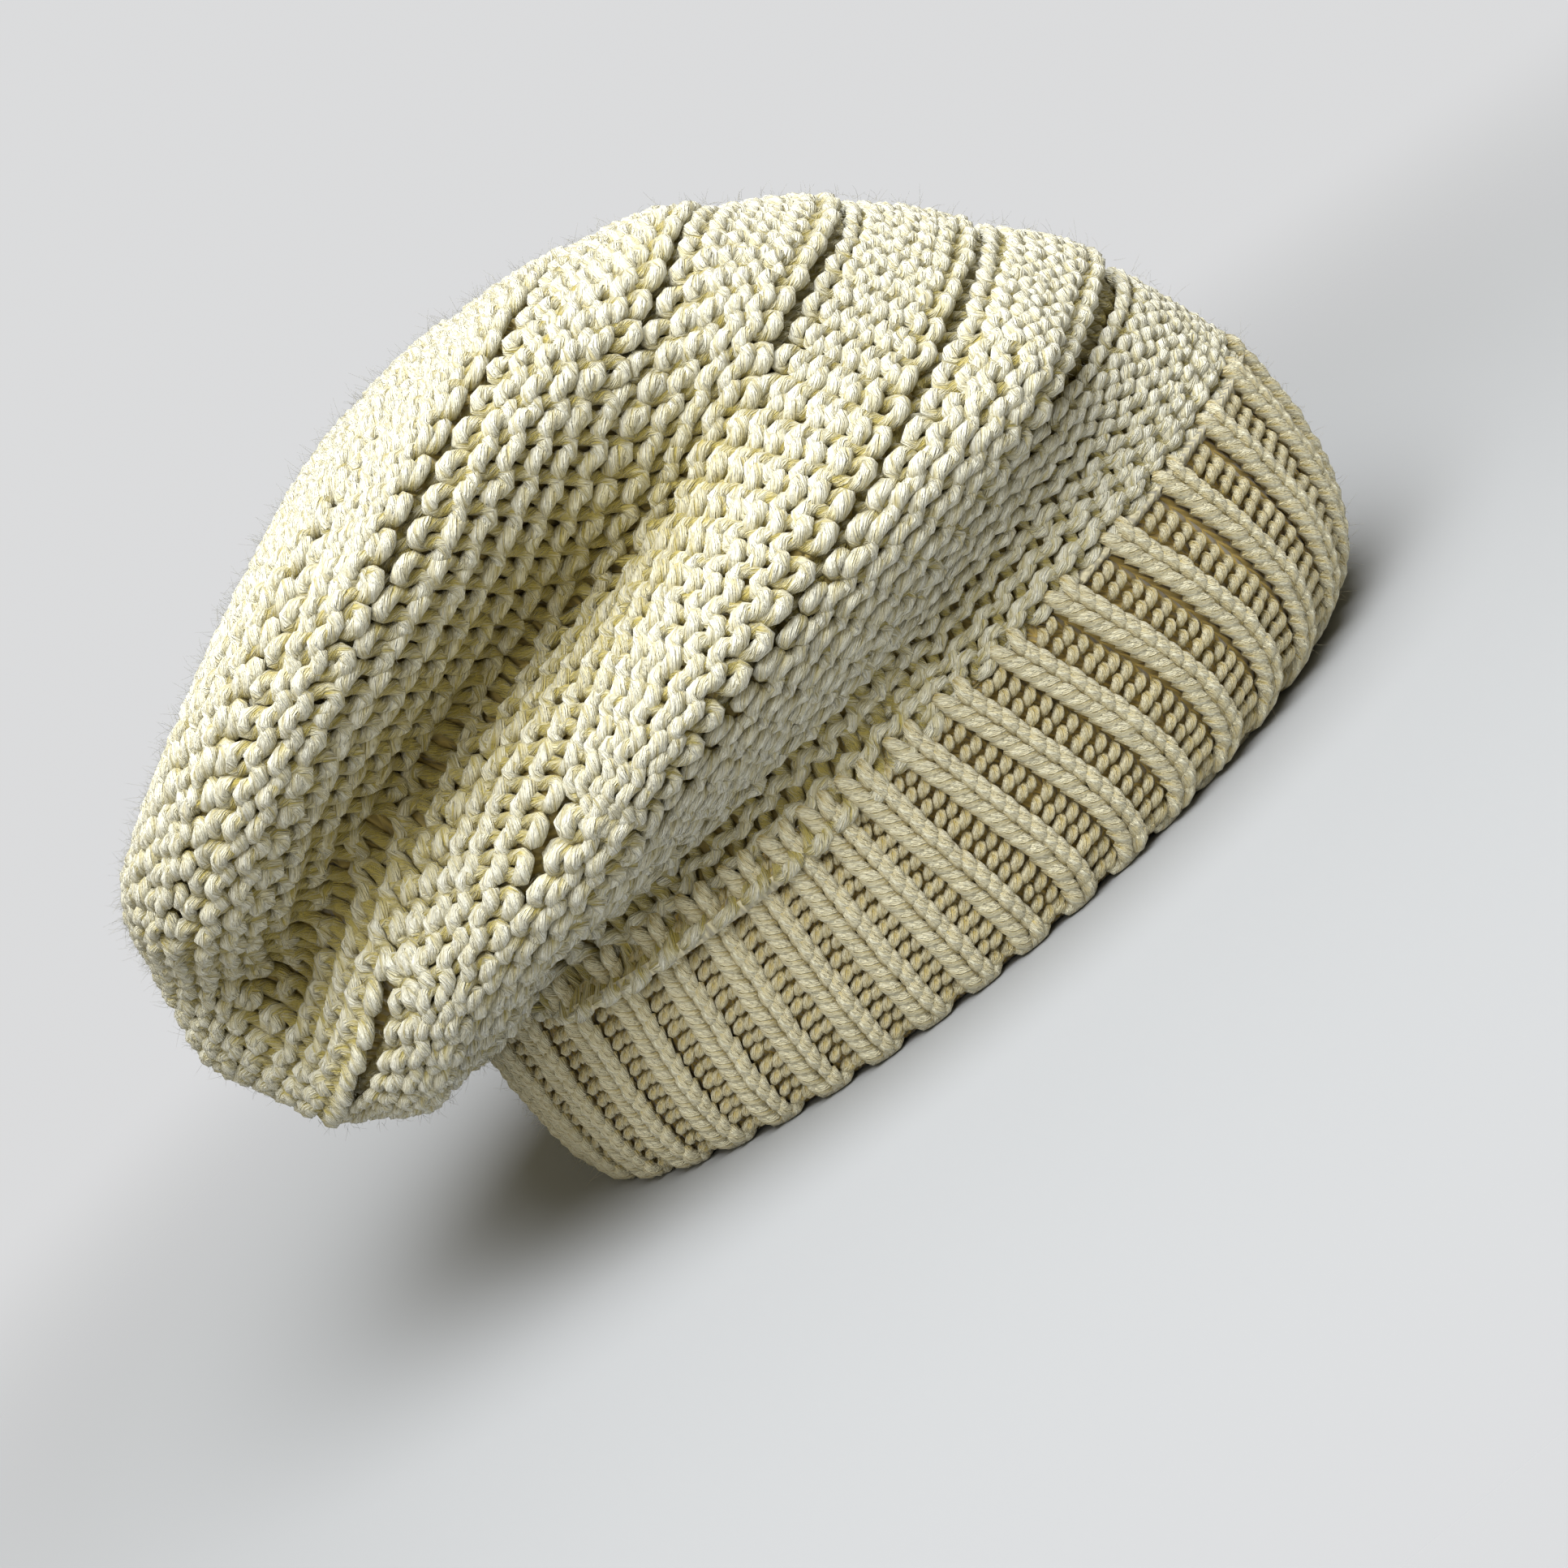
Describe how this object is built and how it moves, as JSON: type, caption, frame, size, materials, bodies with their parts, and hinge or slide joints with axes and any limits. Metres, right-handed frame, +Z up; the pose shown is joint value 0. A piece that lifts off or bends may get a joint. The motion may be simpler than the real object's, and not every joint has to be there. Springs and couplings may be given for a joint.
{
  "type": "slouchy beanie",
  "caption": "Chunky ivory knitted beanie: a wide ribbed band and a welted purl-side crown that slouches in soft rolls over the nape.",
  "frame": {"origin": "centre of the footprint's box, on the surface that the rim stands on", "axes": "+Z up from the rim plane, +X towards the forehead, the hat's right side at -Y"},
  "size_m": [0.3144, 0.2234, 0.1932],
  "materials": {
    "ribbed_knit": "matte plied wool-blend yarn in deep single-column ribs, ivory with olive shade in the gaps",
    "purl_knit": "matte plied wool-blend yarn, purl side out, in raised welts"
  },
  "bodies": {
    "root": {"rib_band": "ribbed_knit", "slouch_crown": "purl_knit"}
  },
  "joints": []
}
